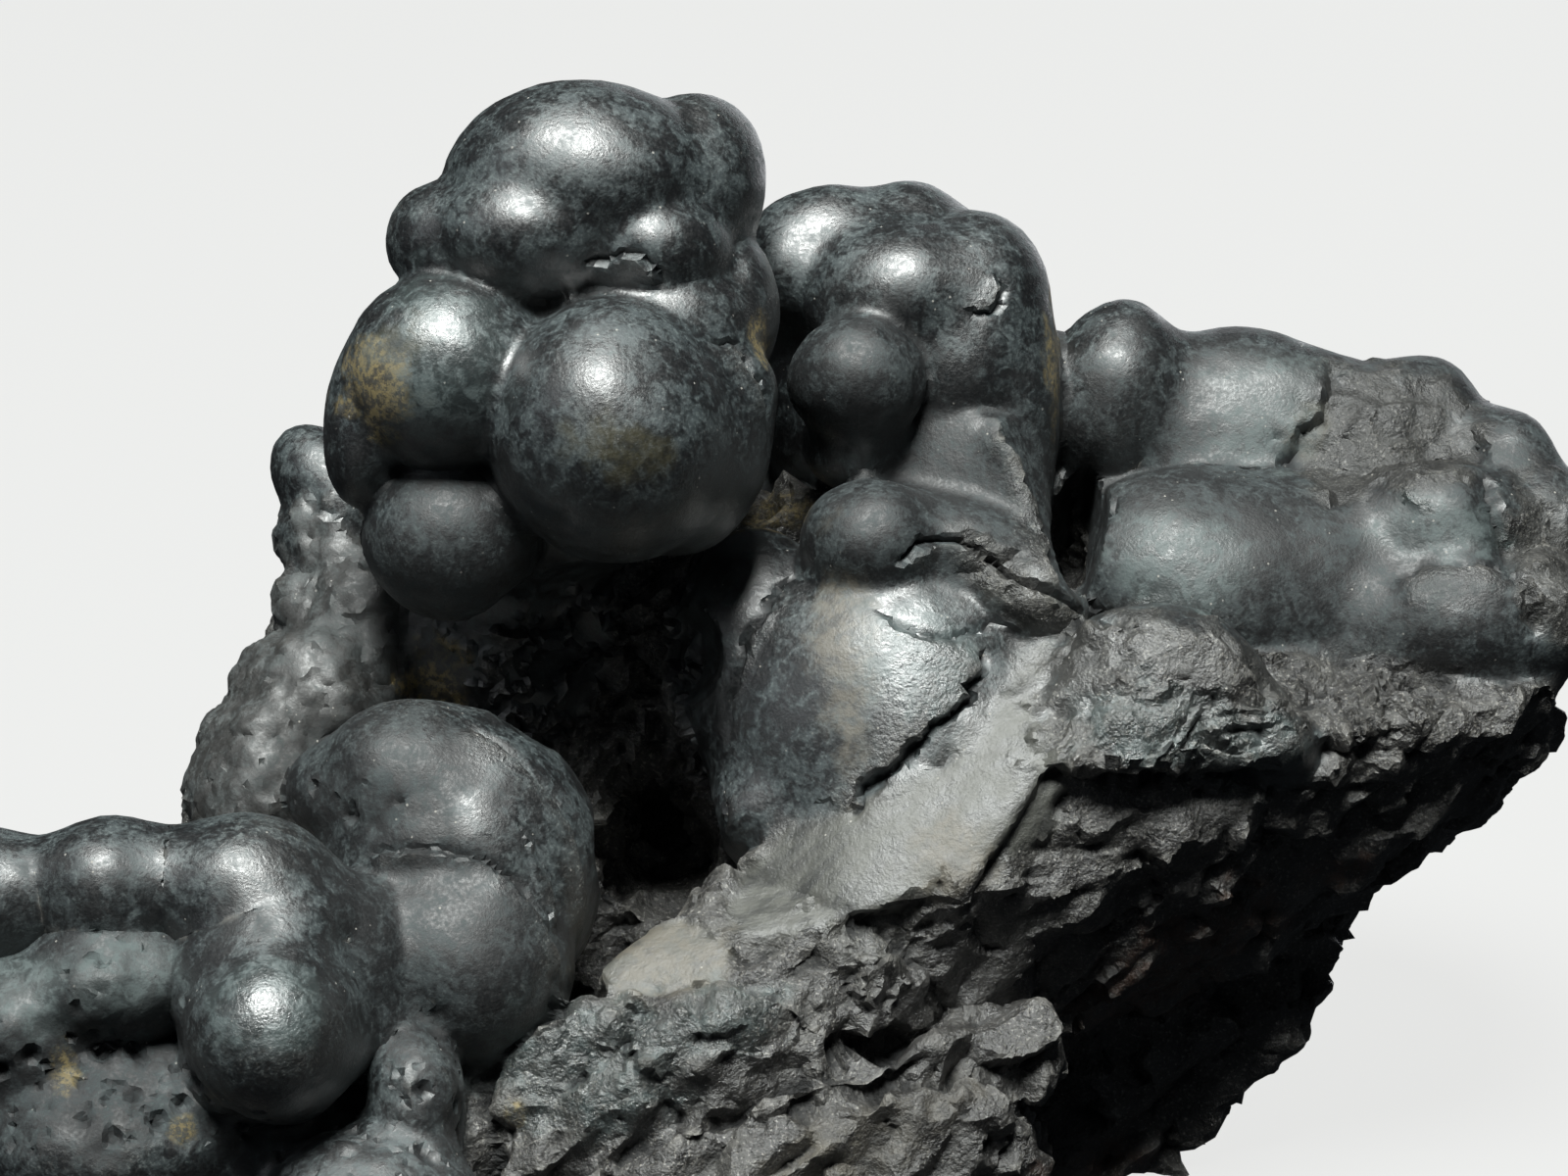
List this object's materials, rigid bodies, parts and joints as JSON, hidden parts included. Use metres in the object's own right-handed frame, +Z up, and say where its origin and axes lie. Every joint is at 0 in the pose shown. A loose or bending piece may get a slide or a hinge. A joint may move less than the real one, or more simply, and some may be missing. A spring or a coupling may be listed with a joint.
{
  "type": "goethite specimen",
  "caption": "Hand specimen of botryoidal goethite: dark satin grape-like lumps grown on broken iron-oxide rock, cut off flat underneath so that it stands.",
  "frame": {"origin": "on the flat cut underneath, below the middle of the lumps seen from the front", "axes": "+Z up from the flat cut, +X towards the overhanging slab at the right, -Y towards the side with the open hollow under the tallest lumps"},
  "size_m": [0.0886, 0.0571, 0.0605],
  "materials": {
    "goethite": "satin blue-black crust with dull grey-brown broken rock"
  },
  "bodies": {
    "root": {"goethite": "goethite"}
  },
  "joints": []
}
